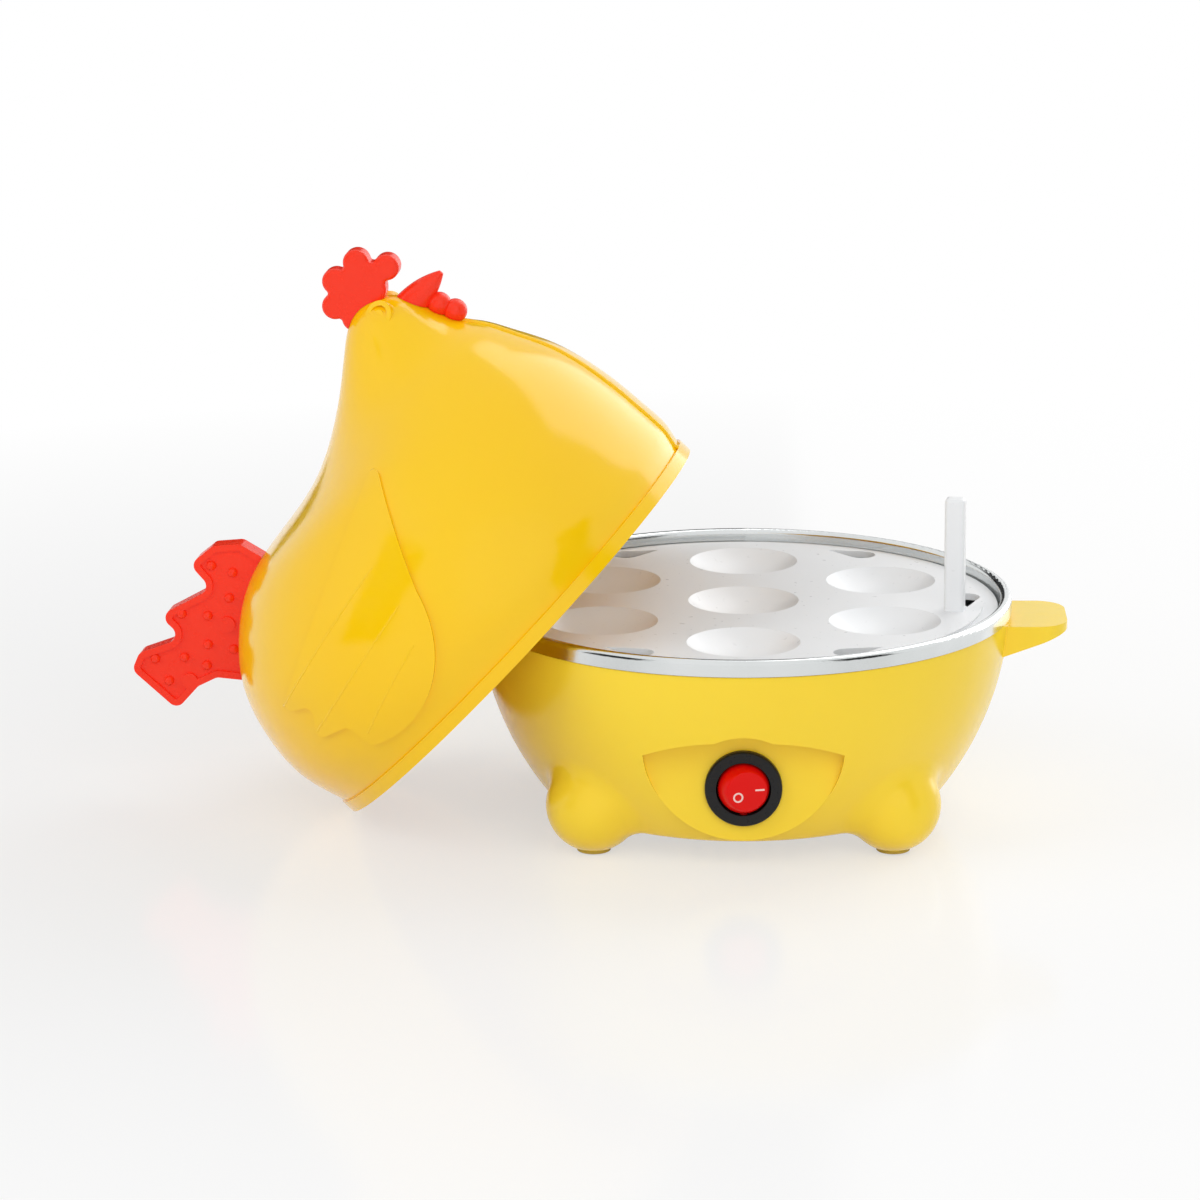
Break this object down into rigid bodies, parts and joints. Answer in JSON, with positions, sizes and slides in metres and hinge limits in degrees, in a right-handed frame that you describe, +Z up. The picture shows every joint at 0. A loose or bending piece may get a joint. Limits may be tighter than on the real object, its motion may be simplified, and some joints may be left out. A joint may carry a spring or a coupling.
{
  "type": "electric egg cooker",
  "caption": "Electric egg cooker with a bowl-shaped base, steel pan, cupped egg tray and a hen-shaped dome lid that stands beside it.",
  "frame": {"origin": "on the base's upright axis, in the plane of the rubber pads that it stands on", "axes": "+Z up along the base's axis, -Y to the switch, +X to the right seen from the switch"},
  "size_m": [0.2804, 0.1623, 0.1691],
  "materials": {
    "base_yellow": "moulded gloss",
    "lid_amber": "moulded gloss, slightly translucent",
    "trim_red": "moulded gloss",
    "tray_white": "moulded satin",
    "stainless_steel": "drawn and polished",
    "zinc_steel": "zinc plated",
    "switch_black": "moulded satin",
    "rocker_red": "moulded gloss",
    "terminal_brass": "stamped",
    "spreader_aluminium": "cast",
    "heater_steel": "heat darkened",
    "bead_ceramic": "unglazed",
    "thermostat_moulding": "thermoset",
    "fuse_case": "plain",
    "sleeve_white": "glass fibre braid",
    "block_white": "moulded",
    "foot_rubber": "moulded",
    "lead_brown": "silicone",
    "lead_blue": "silicone",
    "lead_white": "silicone"
  },
  "bodies": {
    "base": {"base_shell": "base_yellow", "bottom_cover": "base_yellow", "foot_pads": "foot_rubber", "cover_screws": "zinc_steel", "bracket_screws": "zinc_steel", "spreader_screws": "zinc_steel", "pan_brackets": "zinc_steel", "clamp_strap": "zinc_steel", "clamp_nut": "zinc_steel", "fuse_clip": "zinc_steel", "heating_pan": "stainless_steel", "switch_body": "switch_black", "switch_tabs": "terminal_brass", "heat_spreader": "spreader_aluminium", "heater_tube": "heater_steel", "heater_pins": "heater_steel", "heater_beads": "bead_ceramic", "thermostat_cup": "spreader_aluminium", "thermostat_base": "thermostat_moulding", "thermostat_tabs": "terminal_brass", "thermal_fuse": "fuse_case", "fuse_sleeve": "sleeve_white", "terminal_block": "block_white", "block_screws": "terminal_brass", "cord_gland": "switch_black", "lead_live": "lead_brown", "lead_switched": "lead_brown", "lead_heater": "lead_white", "lead_fuse": "lead_white", "lead_neutral": "lead_blue"},
    "rocker": {"switch_rocker": "rocker_red"},
    "tray": {"egg_tray": "tray_white"},
    "lid": {"lid_shell": "lid_amber", "lid_comb": "trim_red", "beak_and_wattle": "trim_red", "lid_tail": "trim_red", "trim_clips": "zinc_steel"}
  },
  "joints": [
    {"name": "rocker_tilt", "type": "hinge", "parent": "base", "child": "rocker", "pos_m": [0, -0.0634, 0.025], "axis": [0, 0, -1], "range_deg": [0, 26]},
    {"name": "tray_lift", "type": "slide", "parent": "base", "child": "tray", "axis": [0, 0, 1], "range_m": [0, 0.012]},
    {"name": "lid_lift", "type": "slide", "parent": "base", "child": "lid", "axis": [0, 0, 1], "range_m": [0, 0.12]}
  ]
}
